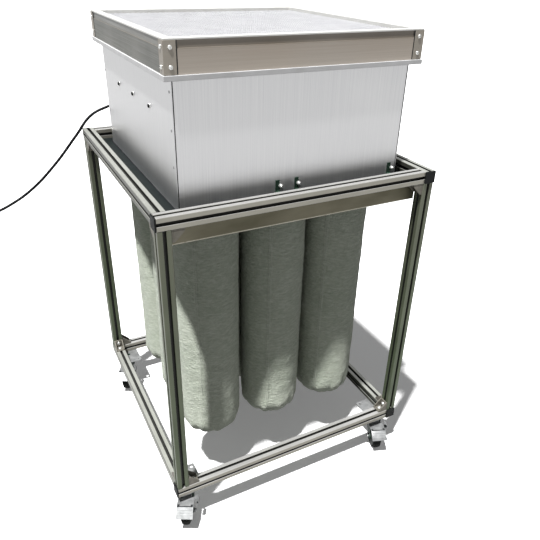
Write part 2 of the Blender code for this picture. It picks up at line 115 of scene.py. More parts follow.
class Look:
    """A Principled material with short calls for the textures that drive it."""

    def __init__(self, name, roughness=0.5, metallic=0.0):
        self.material = bpy.data.materials.new(name)
        self.material.use_nodes = True
        self.nodes = self.material.node_tree.nodes
        self.links = self.material.node_tree.links
        self.shader = self.nodes["Principled BSDF"]
        self.set("Base Color", (0.5, 0.5, 0.5, 1.0))
        self.set("Roughness", roughness)
        self.set("Metallic", metallic)
        self.place = self.nodes.new("ShaderNodeTexCoord").outputs["Object"]

    def set(self, socket, value):
        self.shader.inputs[socket].default_value = value

    def drive(self, socket, source):
        self.links.new(source, self.shader.inputs[socket])

    def add(self, kind, inputs, **settings):
        """A node with its inputs joined to sockets or set to values."""
        node = self.nodes.new(kind)
        for key, value in settings.items():
            setattr(node, key, value)
        for key, value in inputs.items():
            if isinstance(value, bpy.types.NodeSocket):
                self.links.new(value, node.inputs[key])
            else:
                node.inputs[key].default_value = value
        return node

    def noise(self, scale, detail=2.0, stretch=(1, 1, 1), roughness=0.5):
        where = self.add("ShaderNodeMapping", {"Vector": self.place, "Scale": stretch}).outputs[0]
        node = self.add(
            "ShaderNodeTexNoise",
            {"Vector": where, "Scale": scale, "Detail": detail, "Roughness": roughness},
        )
        return node.outputs["Fac"]

    def wave(self, scale, direction="X", distortion=0.0, detail=0.0):
        node = self.add(
            "ShaderNodeTexWave",
            {"Vector": self.place, "Scale": scale, "Distortion": distortion, "Detail": detail},
            bands_direction=direction,
        )
        return node.outputs["Fac"]

    def axis(self, letter):
        split = self.add("ShaderNodeSeparateXYZ", {"Vector": self.place})
        return split.outputs[letter]

    def upward(self):
        """How squarely a face looks up or down, from its world normal."""
        normal = self.add("ShaderNodeNewGeometry", {}).outputs["Normal"]
        height = self.add("ShaderNodeSeparateXYZ", {"Vector": normal}).outputs["Z"]
        return self.sum(height, 0.0, "ABSOLUTE")

    def remap(self, value, low, high, to_low=0.0, to_high=1.0):
        inputs = {"Value": value, "From Min": low, "From Max": high, "To Min": to_low, "To Max": to_high}
        return self.add("ShaderNodeMapRange", inputs).outputs["Result"]

    def ramp(self, value, stops, smooth=False):
        """A colour ramp from (place, colour) stops, where a colour is a grey level or three numbers."""
        node = self.add("ShaderNodeValToRGB", {"Fac": value})
        elements = node.color_ramp.elements
        if smooth:
            node.color_ramp.interpolation = "EASE"
        while len(elements) < len(stops):
            elements.new(1.0)
        for element, (place, colour) in zip(elements, stops):
            element.position = place
            element.color = (colour, colour, colour, 1) if isinstance(colour, float) else (*colour, 1)
        return node.outputs["Color"]

    def mix(self, share, first, second, blend="MIX"):
        node = self.add("ShaderNodeMix", {}, data_type="RGBA", blend_type=blend)
        for socket, value in ((node.inputs[0], share), (node.inputs[6], first), (node.inputs[7], second)):
            if isinstance(value, bpy.types.NodeSocket):
                self.links.new(value, socket)
            elif isinstance(value, (tuple, list)):
                socket.default_value = (*value, 1.0)
            else:
                socket.default_value = value
        return node.outputs[2]

    def sum(self, first, second, operation="ADD"):
        return self.add("ShaderNodeMath", {0: first, 1: second}, operation=operation).outputs[0]

    def bump(self, height, distance, strength=1.0):
        inputs = {"Height": height, "Distance": distance, "Strength": strength}
        node = self.add("ShaderNodeBump", inputs)
        self.drive("Normal", node.outputs[0])

    def done(self):
        return self.material


# ---- materials -------------------------------------------------------------------------------

BAR_LINE = (0.0, (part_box("post_front_right")[0].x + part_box("post_front_right")[1].x) / 2)
BAR_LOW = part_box("bottom_rail_front")[0].z
BAR_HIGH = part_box("top_rail_front")[1].z
BAR_LEVEL = ((BAR_LOW + BAR_HIGH) / 2, (BAR_HIGH - BAR_LOW) / 2 - 0.015)


def off_line(look, axis, middle, reach):
    """How far a point is from the nearer of the two bar centres along one axis."""
    from_middle = look.sum(look.sum(look.axis(axis), middle, "SUBTRACT"), 0.0, "ABSOLUTE")
    return look.sum(look.sum(from_middle, reach, "SUBTRACT"), 0.0, "ABSOLUTE")


def anodised(name, dark, light, along, painted_side_shade, metallic=0.55):
    """Satin anodised extrusion: drawn lines along the bar and cloudy change, with painted shade on upright
    faces and inside the slots, and on posts painted light that turns them a paler grey towards the top.
    """
    look = Look(name, roughness=0.38, metallic=metallic)
    lines = {"X": (2, 900, 900), "Y": (900, 2, 900), "Z": (900, 900, 2)}[along]
    drawn = look.noise(1.0, 3.0, lines)
    cloudy = look.noise(9.0, 3.0)
    base = look.ramp(cloudy, [(0.30, dark), (0.70, light)])
    base = look.mix(0.25, base, look.ramp(drawn, [(0.35, dark), (0.65, light)]))
    # Painted light: posts turn a paler grey towards the top.
    if along == "Z":
        base = look.mix(look.remap(look.axis("Z"), 0.35, 0.95, 0.0, 0.6), base, (0.15, 0.145, 0.115))
    # Painted shade: upright faces are multiplied by the given side colour.
    shaded_sides = look.mix(1.0, base, painted_side_shade, "MULTIPLY")
    base = look.mix(look.upward(), shaded_sides, base)
    middles = {"X": BAR_LINE, "Y": BAR_LINE, "Z": BAR_LEVEL}
    offs = [off_line(look, axis, *middles[axis]) for axis in "XYZ" if axis != along]
    # Painted shade: the inside of each T-slot is darkened to a tenth.
    painted_slot_shade = look.remap(look.sum(*offs, "MAXIMUM"), 0.0118, 0.0136, 0.10, 1.0)
    look.drive("Base Color", look.mix(1.0, base, painted_slot_shade, "MULTIPLY"))
    look.drive("Roughness", look.remap(drawn, 0.3, 0.7, 0.30, 0.46))
    look.bump(drawn, 0.00008)
    return look.done()


def brushed_steel():
    """Bright brushed sheet with an upright grain and a few smudges, lit by the lights alone."""
    look = Look("brushed_steel", metallic=0.88)
    grain = look.noise(1.0, 4.0, (900, 900, 4))
    smudge = look.noise(5.0, 4.0)
    base = look.ramp(grain, [(0.3, (0.56, 0.56, 0.57)), (0.7, (0.66, 0.66, 0.66))])
    look.drive("Base Color", look.mix(look.remap(smudge, 0.55, 0.8, 0.0, 0.12), base, (0.85, 0.85, 0.83)))
    look.drive("Roughness", look.remap(grain, 0.3, 0.7, 0.30, 0.42))
    look.bump(grain, 0.00002)
    return look.done()


def deck_steel():
    """Cold-rolled sheet: brown-olive on its flanges, and near black on the deck's level faces, which is
    painted shade.
    """
    look = Look("tube_sheet_steel", roughness=0.4)
    look.drive("Metallic", look.remap(look.upward(), 0.0, 1.0, 0.6, 0.1))
    look.set("Specular IOR Level", 0.1)
    cloud = look.noise(6.0, 4.0, (1, 1, 2.5))
    flank = look.ramp(cloud, [(0.3, (0.105, 0.098, 0.066)), (0.7, (0.20, 0.185, 0.135))])
    # Painted shade: faces that look up or down are near black.
    look.drive("Base Color", look.mix(look.upward(), flank, (0.009, 0.012, 0.012)))
    scratch = look.noise(1.0, 4.0, (14, 14, 500))
    look.drive("Roughness", look.remap(scratch, 0.3, 0.7, 0.34, 0.48))
    look.bump(scratch, 0.00003)
    return look.done()


def filter_alloy(name, low_colour, high_colour):
    look = Look(name, roughness=0.42, metallic=0.45)
    drawn = look.noise(1.0, 3.0, (6, 6, 700))
    cloudy = look.noise(5.0, 3.0)
    base = look.ramp(cloudy, [(0.3, low_colour), (0.7, high_colour)])
    look.drive("Base Color", look.mix(0.2, base, look.ramp(drawn, [(0.35, low_colour), (0.65, high_colour)])))
    look.drive("Roughness", look.remap(drawn, 0.3, 0.7, 0.34, 0.5))
    look.bump(drawn, 0.00006)
    return look.done()


def coated(name, dark, light, roughness=0.45, grain=420.0, depth=0.00012, metallic=0.0):
    """Powder coat, moulded plastic or rubber: a fine grain and slow colour change."""
    look = Look(name, roughness=roughness, metallic=metallic)
    look.set("Specular IOR Level", 0.5 if max(light) > 0.1 else 0.08)
    cloudy = look.noise(26.0, 4.0)
    fine = look.noise(grain, 3.0)
    look.drive("Base Color", look.ramp(cloudy, [(0.3, dark), (0.7, light)]))
    look.drive("Roughness", look.remap(fine, 0.3, 0.7, roughness - 0.08, roughness + 0.12))
    look.bump(fine, depth)
    return look.done()


def plated(name, dark, light, roughness=0.26):
    """Zinc or nickel plate with cloudy patches and faint pressing lines."""
    look = Look(name, roughness=roughness, metallic=0.7)
    cloudy = look.noise(60.0, 4.0)
    fine = look.noise(900.0, 2.0)
    look.drive("Base Color", look.ramp(cloudy, [(0.3, dark), (0.7, light)]))
    look.drive("Roughness", look.remap(cloudy, 0.3, 0.7, roughness - 0.06, roughness + 0.14))
    look.bump(fine, 0.00004)
    return look.done()


def felt_look():
    """Needled felt: tangled fibres that run mostly round the bag, soft pills and a woolly sheen."""
    look = Look("felt", roughness=0.95)
    patch = look.noise(7.0, 4.0)
    fibre = look.noise(1.0, 5.0, (150, 150, 520), 0.62)
    tuft = look.noise(1.0, 5.0, (64, 64, 190), 0.6)
    pill = look.noise(210.0, 4.0, roughness=0.6)
    base = look.ramp(patch, [(0.32, (0.42, 0.485, 0.36)), (0.68, (0.565, 0.615, 0.49))])
    shade = look.ramp(fibre, [(0.30, (0.20, 0.225, 0.18)), (0.70, (0.68, 0.70, 0.64))])
    base = look.mix(0.30, base, shade)
    tones = [(0.30, (0.25, 0.28, 0.225)), (0.50, (0.44, 0.47, 0.40)), (0.70, (0.74, 0.76, 0.70))]
    shade = look.ramp(tuft, tones)
    look.drive("Base Color", look.mix(0.36, base, shade))
    look.set("Sheen Weight", 0.2)
    look.set("Sheen Roughness", 0.6)
    look.set("Specular IOR Level", 0.15)
    rough = look.sum(look.sum(fibre, pill), look.sum(tuft, 1.1, "MULTIPLY"))
    look.bump(rough, 0.0026, 0.9)
    return look.done()


def pleated_paper():
    """The filter pack's folds, about 3 mm apart and running front to back, with painted shade darkening each
    fold where it is lowest.
    """
    look = Look("filter_paper", roughness=0.9)
    fold = look.wave(52.0, "X")
    fibre = look.noise(300.0, 3.0)
    # Painted shade: the colour darkens where the fold is lowest.
    look.drive("Base Color", look.ramp(fold, [(0.0, (0.40, 0.40, 0.41)), (0.6, (0.78, 0.78, 0.79))]))
    look.bump(look.sum(fold, look.sum(fibre, 0.15, "MULTIPLY")), 0.0012)
    return look.done()


def studio_floor():
    """Pale matt paper that throws little light back up under the object."""
    look = Look("studio_floor", roughness=0.85)
    speck = look.noise(90.0, 2.0)
    pale = look.ramp(speck, [(0.3, (0.425, 0.425, 0.425)), (0.7, (0.44, 0.44, 0.44))])
    bounce = look.add("ShaderNodeLightPath", {}).outputs["Is Diffuse Ray"]
    seen = look.add("ShaderNodeLightPath", {}).outputs["Is Camera Ray"]
    pale = look.mix(seen, pale, (0.88, 0.88, 0.88))
    look.drive("Base Color", look.mix(bounce, pale, (0.14, 0.14, 0.14)))
    look.set("Specular IOR Level", 0.1)
    look.set("Emission Color", (1.0, 1.0, 1.0, 1.0))
    look.drive("Emission Strength", look.remap(seen, 0.0, 1.0, 0.0, 0.15))
    return look.done()


M = {
    # The last colour given to each rail is painted shade on its upright faces, mild on the front and back
    # rails and deep on the side rails.
    "rail_x": anodised("anodised_rail_x", (0.40, 0.395, 0.38), (0.50, 0.495, 0.48), "X", (0.72, 0.70, 0.62)),
    "rail_y": anodised("anodised_rail_y", (0.36, 0.365, 0.33), (0.47, 0.475, 0.435), "Y", (0.20, 0.20, 0.18)),
    # The posts' dark olive green is painted shade and green reflection on the same aluminium as the rails.
    "post": anodised(
        "anodised_post_shaded", (0.070, 0.088, 0.052), (0.125, 0.150, 0.095), "Z", (1.0, 1.0, 1.0), 0.4
    ),
    "steel": brushed_steel(),
    "deck": deck_steel(),
    "lip": coated("lip_coating", (0.47, 0.47, 0.47), (0.56, 0.56, 0.565), 0.5),
    "filter_rim": coated("filter_rim", (0.60, 0.595, 0.57), (0.66, 0.655, 0.63), 0.4, 500.0, 0.00004, 0.3),
    "guard": coated("white_mesh", (0.50, 0.50, 0.515), (0.58, 0.58, 0.59), 0.5),
    "paper": pleated_paper(),
    "felt": felt_look(),
    "thread": coated("pale_thread", (0.50, 0.53, 0.46), (0.62, 0.64, 0.57), 0.8, 1500.0),
    "zinc": plated("zinc_plate", (0.27, 0.275, 0.275), (0.37, 0.375, 0.375), 0.42),
    "bright": plated("bright_steel", (0.62, 0.62, 0.60), (0.85, 0.85, 0.83), 0.18),
    "dark_steel": coated(
        "dark_painted_steel", (0.008, 0.022, 0.014), (0.03, 0.055, 0.04), 0.36, 300.0, 0.0001, 0.2
    ),
    "tread": coated("black_tread", (0.006, 0.008, 0.006), (0.018, 0.02, 0.018), 0.62, 600.0),
    "plastic": coated("black_plastic", (0.007, 0.008, 0.008), (0.017, 0.018, 0.018), 0.46),
    "sheath": coated("cord_sheath", (0.006, 0.006, 0.007), (0.014, 0.014, 0.015), 0.4, 800.0, 0.00005),
    "cast": coated("grey_casting", (0.13, 0.122, 0.10), (0.22, 0.205, 0.175), 0.5, 260.0, 0.0002, 0.5),
    "fan": coated("fan_casting", (0.16, 0.17, 0.18), (0.26, 0.27, 0.28), 0.5, 200.0, 0.0003, 0.5),
    "seal": coated("corner_seal", (0.02, 0.021, 0.022), (0.045, 0.046, 0.048), 0.6),
    "floor": studio_floor(),
}


def finish_node(name, material, bevel=0.0, smooth=False):
    """Gives a CAD node its material, and softens its edges where asked."""
    obj = NODES[name]
    obj.data.materials.clear()
    obj.data.materials.append(M[material])
    if bevel:
        weld = obj.modifiers.new("weld", "WELD")
        weld.merge_threshold = 0.00001
        edge = obj.modifiers.new("edge", "BEVEL")
        edge.width = bevel
        edge.segments = 2
        edge.limit_method = "ANGLE"
        edge.angle_limit = math.radians(35)
        edge.harden_normals = False
    if smooth:
        obj.data.shade_smooth()
        obj.data.set_sharp_from_angle(angle=math.radians(35))


# ---- mesh building ---------------------------------------------------------------------------


class Piece:
    """A mesh put together from simple solids, then placed on a CAD body."""

    def __init__(self):
        self.mesh = bmesh.new()

    def box(self, low, high, place=Matrix()):
        low, high = Vector(low), Vector(high)
        size = Matrix.Diagonal((*(high - low), 1.0))
        bmesh.ops.create_cube(self.mesh, size=1.0, matrix=place @ Matrix.Translation((low + high) / 2) @ size)

    def lathe(self, profile, steps, place=Matrix()):
        """Turns (radius, height) points, top to bottom, about Z; ends on the axis are closed."""
        rings = []
        for radius, height in profile:
            if radius < 1e-7:
                rings.append([self.mesh.verts.new(place @ Vector((0, 0, height)))] * steps)
                continue
            angles = [2 * math.pi * i / steps for i in range(steps)]
            ring = [Vector((radius * math.cos(a), radius * math.sin(a), height)) for a in angles]
            rings.append([self.mesh.verts.new(place @ point) for point in ring])
        for upper, lower in zip(rings, rings[1:]):
            for i in range(steps):
                j = (i + 1) % steps
                corners = dict.fromkeys((upper[i], lower[i], lower[j], upper[j]))
                if len(corners) > 2:
                    self.mesh.faces.new(list(corners))

    def prism(self, outline, low, high, place=Matrix()):
        """An outline of (x, y) points, counter-clockwise, between two heights."""
        bottom = [self.mesh.verts.new(place @ Vector((x, y, low))) for x, y in outline]
        top = [self.mesh.verts.new(place @ Vector((x, y, high))) for x, y in outline]
        self.mesh.faces.new(top)
        self.mesh.faces.new(bottom[::-1])
        for i, j in zip(range(len(outline)), [*range(1, len(outline)), 0]):
            self.mesh.faces.new((bottom[i], bottom[j], top[j], top[i]))

    def put(self, name, material, body, slot=None, bevel=0.0, smooth=True):
        bmesh.ops.recalc_face_normals(self.mesh, faces=self.mesh.faces)
        data = bpy.data.meshes.new(name)
        self.mesh.to_mesh(data)
        self.mesh.free()
        data.materials.append(M[material])
        if smooth:
            data.shade_smooth()
            data.set_sharp_from_angle(angle=math.radians(38))
        obj = bpy.data.objects.new(name, data)
        bpy.context.scene.collection.objects.link(obj)
        if bevel:
            edge = obj.modifiers.new("edge", "BEVEL")
            edge.width = bevel
            edge.segments = 2
            edge.limit_method = "ANGLE"
            edge.angle_limit = math.radians(35)
        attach(obj, body)
        return obj


def toward(place, normal, up=(0, 0, 1)):
    """A matrix whose Z is the normal, for heads and rivets that sit on a face."""
    normal = Vector(normal).normalized()
    side = Vector(up).cross(normal)
    if side.length < 1e-6:
        side = Vector((1, 0, 0))
    side.normalize()
    turn = Matrix((side, normal.cross(side), normal)).transposed().to_4x4()
    return Matrix.Translation(place) @ turn


def button_head(piece, place, radius, height, steps=20):
    """A domed socket head: the hexagon well is left open at the top."""
    well = radius * 0.45
    dome = [
        (0, height * 0.35),
        (well, height * 0.35),
        (well, height),
        (radius * 0.62, height * 0.97),
        (radius * 0.86, height * 0.75),
        (radius, height * 0.35),
        (radius, 0),
    ]
    piece.lathe(dome, steps, place)


def pan_head(washer, head, place, radius, height):
    """A bright washer under a black socket head."""
    washer.lathe([(0, 0.001), (radius * 1.35, 0.001), (radius * 1.4, 0.0006), (radius * 1.4, 0)], 28, place)
    button_head(head, place @ Matrix.Translation((0, 0, 0.001)), radius, height)


# ---- mains lead ------------------------------------------------------------------------------

CORD_DIAMETER = 0.008
CORD_EXIT = Vector((-0.200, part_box("box_panel_back")[1].y, 0.967))
COIL_AT = Vector((-0.852, 0.120, 0.0043))
COIL_OUTER, COIL_INNER = 0.052, 0.036
CORD_ROUTE = [
    (-0.200, 0.299, 0.967),
    (-0.200, 0.3173, 0.967),
    (-0.200, 0.3273, 0.967),
    (-0.200, 0.3373, 0.967),
    (-0.2075, 0.3565, 0.9660),
    (-0.2300, 0.3700, 0.9615),
    (-0.2650, 0.3720, 0.9510),
    (-0.317, 0.370, 0.930),
    (-0.366, 0.370, 0.877),
    (-0.439, 0.370, 0.797),
    (-0.519, 0.370, 0.728),
    (-0.588, 0.370, 0.690),
    (-0.660, 0.368, 0.664),
    (-0.725, 0.360, 0.620),
    (-0.772, 0.348, 0.540),
    (-0.793, 0.334, 0.420),
    (-0.800, 0.318, 0.280),
    (-0.800, 0.296, 0.140),
    (-0.800, 0.264, 0.050),
    (-0.800, 0.222, 0.012),
    (-0.800, 0.185, 0.0044),
    (-0.800, 0.1495, 0.0043),
]


def coil_point(turns):
    """Three turns inward on the floor, the third one climbing, then out again on top, clockwise."""
    if turns < 2:
        radius, layer = COIL_OUTER - CORD_DIAMETER * turns, 0.0
    elif turns < 3:
        climb = turns - 2
        radius, layer = COIL_INNER - 0.0025 * math.sin(math.pi * climb), climb
    else:
        radius, layer = min(COIL_OUTER, COIL_INNER + CORD_DIAMETER * (turns - 3)), 1.0
    angle = -2 * math.pi * turns
    return COIL_AT + Vector((radius * math.cos(angle), radius * math.sin(angle), layer * CORD_DIAMETER))


def mains_lead():
    steps_a_turn = 20
    coil = [coil_point(i / steps_a_turn) for i in range(int(5.5 * steps_a_turn) + 1)]
    left = COIL_AT.x - COIL_OUTER
    tail = [(left, 0.1290, 0.0110), (left, 0.1390, 0.0076), (left, 0.1498, 0.0056), (left, 0.1620, 0.0052)]
    places = [Vector(p) for p in (*CORD_ROUTE, *coil, *tail)]
    curve = bpy.data.curves.new("mains_lead", "CURVE")
    curve.dimensions = "3D"
    curve.bevel_depth = CORD_DIAMETER / 2
    curve.bevel_resolution = 4
    curve.resolution_u = 8
    curve.use_fill_caps = True
    spline = curve.splines.new("BEZIER")
    spline.bezier_points.add(len(places) - 1)
    for point, place in zip(spline.bezier_points, places):
        point.co = place
        point.handle_left_type = point.handle_right_type = "AUTO"
    curve.materials.append(M["sheath"])
    lead = bpy.data.objects.new("mains_lead", curve)
    bpy.context.scene.collection.objects.link(lead)
    lead.visible_shadow = False
    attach(lead, "stand")
    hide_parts("power_cord", "cord_coil")

    tie = Piece()
    around = [(-0.0140, -0.0040), (0.0140, -0.0040), (0.0150, 0.0000), (0.0148, 0.0095), (0.0120, 0.0132)]
    around += [(-0.0120, 0.0132), (-0.0148, 0.0095), (-0.0150, 0.0000)]
    place = toward(COIL_AT + Vector((0, 0.044, 0)), (1, 0, 0))
    ring_pair(tie, [(y, z) for y, z in around], 0.0011, 0.018, place)
    on_coil = Matrix.Translation(COIL_AT + Vector((0, 0.044, 0)))
    tie.box((-0.009, -0.013, 0.0132), (0.009, 0.010, 0.0148), on_coil)
    tie = tie.put("coil_tie", "tie", "stand", "black_plastic", 0.0004)

    grip = Piece()
    low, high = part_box("power_plug")
    middle = (low + high) / 2
    for row in range(5):
        y = low.y + 0.0285 + 0.0042 * row
        grip.box((low.x - 0.0006, y, low.z + 0.004), (high.x + 0.0006, y + 0.0018, high.z - 0.004))
    pad_low = (middle.x - 0.009, low.y + 0.027, high.z - 0.002)
    grip.box(pad_low, (middle.x + 0.009, low.y + 0.050, high.z + 0.0006))
    grip = grip.put("plug_grip", "plastic", "stand", "black_moulding", 0.0004)

    ribs = Piece()
    out = toward(CORD_EXIT, (0, 1, 0))
    for i in range(6):
        height = 0.0160 + 0.0030 * i
        radius = 0.0088 - 0.00045 * i
        rib = [(0.003, height + 0.0015), (radius, height + 0.0013)]
        ribs.lathe([*rib, (radius, height + 0.0002), (0.003, height)], 20, out)
    ribs.lathe([(0.0080, 0.0066), (0.0136, 0.0062), (0.0136, 0.0012), (0.0080, 0.0004)], 6, out)
    ribs = ribs.put("gland_ribs", "plastic", "stand", "black_moulding", 0.0002)


def ring_pair(piece, outline, thick, width, place):
    """A closed band of this outline, this thick and this wide, with its width along the place's Z."""
    middle = Vector((sum(x for x, _ in outline), sum(y for _, y in outline))) / len(outline)
    rings = []
    for grow, height in ((0, -width / 2), (thick, -width / 2), (thick, width / 2), (0, width / 2)):
        ring = []
        for x, y in outline:
            out = (Vector((x, y)) - middle).normalized() * grow
            ring.append(piece.mesh.verts.new(place @ Vector((x + out.x, y + out.y, height))))
        rings.append(ring)
    for first, second in zip(rings, [*rings[1:], rings[0]]):
        for i in range(len(outline)):
            j = (i + 1) % len(outline)
            piece.mesh.faces.new((first[i], first[j], second[j], second[i]))


# ---- felt bags -------------------------------------------------------------------------------

BAG_NODES = [f"filter_bag_{row}_{column}" for row in ("front", "middle", "back")
             for column in ("left", "centre", "right")]
BAG_ROUND = 100
BAG_RINGS = 92
BAG_RADIUS = 0.0835
BAG_FOOT = 0.0606
BAG_WALL = 0.002
PLEAT_DEPTH = 0.0036
SLOW_CREASE, FINE_CREASE = 0.0016, 0.0014
NECK_RADIUS = 0.0738
SEAM_HALF = math.radians(3.4)


def bag_angles(seam):
    """Even steps round the bag, with extra ones where the seam's edges are."""
    even = [2 * math.pi * i / BAG_ROUND for i in range(BAG_ROUND)]
    spread = SEAM_HALF * 1.35
    kept = [a for a in even if spread < a < 2 * math.pi - spread]
    close = [SEAM_HALF * s for s in (-1.25, -1.0, -0.85, -0.3, 0.3, 0.85, 1.0, 1.25)]
    return [seam + a for a in sorted(close + kept)]


def bag_section(share, low, top):
    """Radius and height of the bag's rounded bottom and straight sleeve, share 0 at the bottom's middle."""
    bottom = 0.13
    if share < bottom:
        turn = share / bottom * math.pi / 2
        radius = BAG_RADIUS * math.sin(turn) ** 0.86
        return radius, low + 0.0006 + 0.060 * (1 - math.cos(turn)) ** 1.25
    height = low + BAG_FOOT + (top - low - BAG_FOOT) * (share - bottom) / (1 - bottom)
    return BAG_RADIUS, height


def bag_point(share, angle, seam, number, low, top):
    radius, height = bag_section(share, low, top)
    around = Vector((math.cos(angle), math.sin(angle)))
    above = height - low
    fade = max(0.0, 1 - above / 0.085)
    seed = 37.0 * number
    folds = math.sin(11 * angle + 2.2 * noise.noise((around.x * 1.3, around.y * 1.3, seed)))
    folds += 0.6 * math.sin(19 * angle + 1.7 + 3.0 * noise.noise((around.x, around.y, seed + 9)))
    pleat = PLEAT_DEPTH * folds * fade ** 1.2 * min(1.0, radius / 0.03)
    slow = noise.noise((around.x * 1.4, around.y * 1.4, height * 5.0 + seed))
    fine = noise.noise((around.x * 3.2, around.y * 3.2, height * 34.0 + seed))
    calm = min(1.0, (top - height) / 0.03) * min(1.0, above / 0.01)
    crease = SLOW_CREASE * slow * calm + FINE_CREASE * fine * calm * min(1.0, above / 0.05)
    off = (angle - seam + math.pi) % (2 * math.pi) - math.pi
    raised = 0.0013 if abs(off) < SEAM_HALF * 0.9 and above > 0.012 else 0.0
    reach = min(radius + pleat + crease - 0.0012, BAG_RADIUS + 0.0004) + raised
    return around * max(reach, 0.0), height + 0.35 * pleat * (1 if above < 0.05 else 0)


def felt_bag(number, node):
    low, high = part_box(node)
    middle = (low + high) / 2
    deck_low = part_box("tube_sheet")[1].z - 0.0018
    seam = math.radians(-128 + 9 * math.sin(2.3 * number))
    angles = bag_angles(seam)
    mesh = bmesh.new()
    rings = []
    for i in range(1, BAG_RINGS + 1):
        share = i / BAG_RINGS
        ring = []
        for angle in angles:
            around, height = bag_point(share, angle, seam, number, low.z, deck_low - 0.0016)
            ring.append(mesh.verts.new((middle.x + around.x, middle.y + around.y, height)))
        rings.append(ring)
    collar = ((0.0800, deck_low - 0.0004), (NECK_RADIUS, deck_low), (NECK_RADIUS, high.z - 0.001))
    for radius, height in collar:
        ring = [(middle.x + radius * math.cos(a), middle.y + radius * math.sin(a), height) for a in angles]
        rings.append([mesh.verts.new(place) for place in ring])
    count = len(angles)
    base = mesh.verts.new((middle.x, middle.y, low.z + 0.0012))
    for i in range(count):
        mesh.faces.new((base, rings[0][(i + 1) % count], rings[0][i]))
    for lower, upper in zip(rings, rings[1:]):
        for i in range(count):
            j = (i + 1) % count
            mesh.faces.new((lower[i], lower[j], upper[j], upper[i]))
    data = bpy.data.meshes.new(f"felt_bag_{number}")
    mesh.to_mesh(data)
    mesh.free()
    data.shade_smooth()
    data.materials.append(M["felt"])
    bag = bpy.data.objects.new(node.replace("filter_bag", "felt_bag"), data)
    bpy.context.scene.collection.objects.link(bag)
    wall = bag.modifiers.new("wall", "SOLIDIFY")
    wall.thickness = BAG_WALL
    wall.offset = -1
    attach(bag, "stand")
    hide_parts(node)

    thread = Piece()
    for side in (-0.55, 0.55):
        angle = seam + SEAM_HALF * side
        for k in range(104):
            height = low.z + 0.075 + 0.0060 * k
            if height > deck_low - 0.012:
                break
            share = 0.13 + 0.87 * (height - low.z - BAG_FOOT) / (deck_low - 0.0016 - low.z - BAG_FOOT)
            around, height = bag_point(share, angle, seam, number, low.z, deck_low - 0.0016)
            at = Vector((middle.x + around.x, middle.y + around.y, height))
            place = toward(at, (around.x, around.y, 0))
            thread.box((-0.0005, -0.0019, -0.0003), (0.0005, 0.0019, 0.0005), place)
    thread = thread.put(f"seam_thread_{number}", "thread", "stand", "felt", smooth=False)

    ring = Piece()
    rim = high.z
    profile = [(0.0700, rim - 0.0015), (0.0706, rim), (0.0738, rim), (0.0741, rim - 0.0006)]
    profile += [(0.0741, rim - 0.0030), (0.0722, rim - 0.0030), (0.0700, rim - 0.0015)]
    ring.lathe(profile, 64, Matrix.Translation((middle.x, middle.y, 0)))
    ring.put(f"snap_ring_{number}", "zinc", "stand", "zinc_plate")
    around = 2 * math.pi * BAG_RADIUS


# ---- box, lip and filter ---------------------------------------------------------------------


def filter_guard():
    """Expanded metal, painted white: zigzag strands front to back, joined at their points."""
    low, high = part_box("filter_face_guard")
    pitch, step = 0.0075, 0.0052
    columns = int((high.x - low.x) / pitch)
    rows = int((high.y - low.y) / step)
    pitch, step = (high.x - low.x) / columns, (high.y - low.y) / rows
    mesh = bmesh.new()
    for column in range(columns + 1):
        x0 = low.x + pitch * column
        lean = 1 if column % 2 else -1
        rings = []
        for row in range(rows + 1):
            x = x0 + lean * (1 if row % 2 else -1) * (pitch / 2 - 0.0005)
            x = min(max(x, low.x + 0.001), high.x - 0.001)
            y = low.y + step * row
            corners = ((x - 0.0010, low.z), (x + 0.0010, low.z), (x + 0.0010, high.z), (x - 0.0010, high.z))
            rings.append([mesh.verts.new((cx, y, cz)) for cx, cz in corners])
        mesh.faces.new(rings[0])
        mesh.faces.new(rings[-1][::-1])
        for first, second in zip(rings, rings[1:]):
            for i in range(4):
                mesh.faces.new((first[i], second[i], second[(i + 1) % 4], first[(i + 1) % 4]))
    guard = Piece()
    guard.mesh.free()
    guard.mesh = mesh
    guard = guard.put("expanded_guard", "guard", "filter", "white_mesh", smooth=False)
    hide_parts("filter_face_guard")


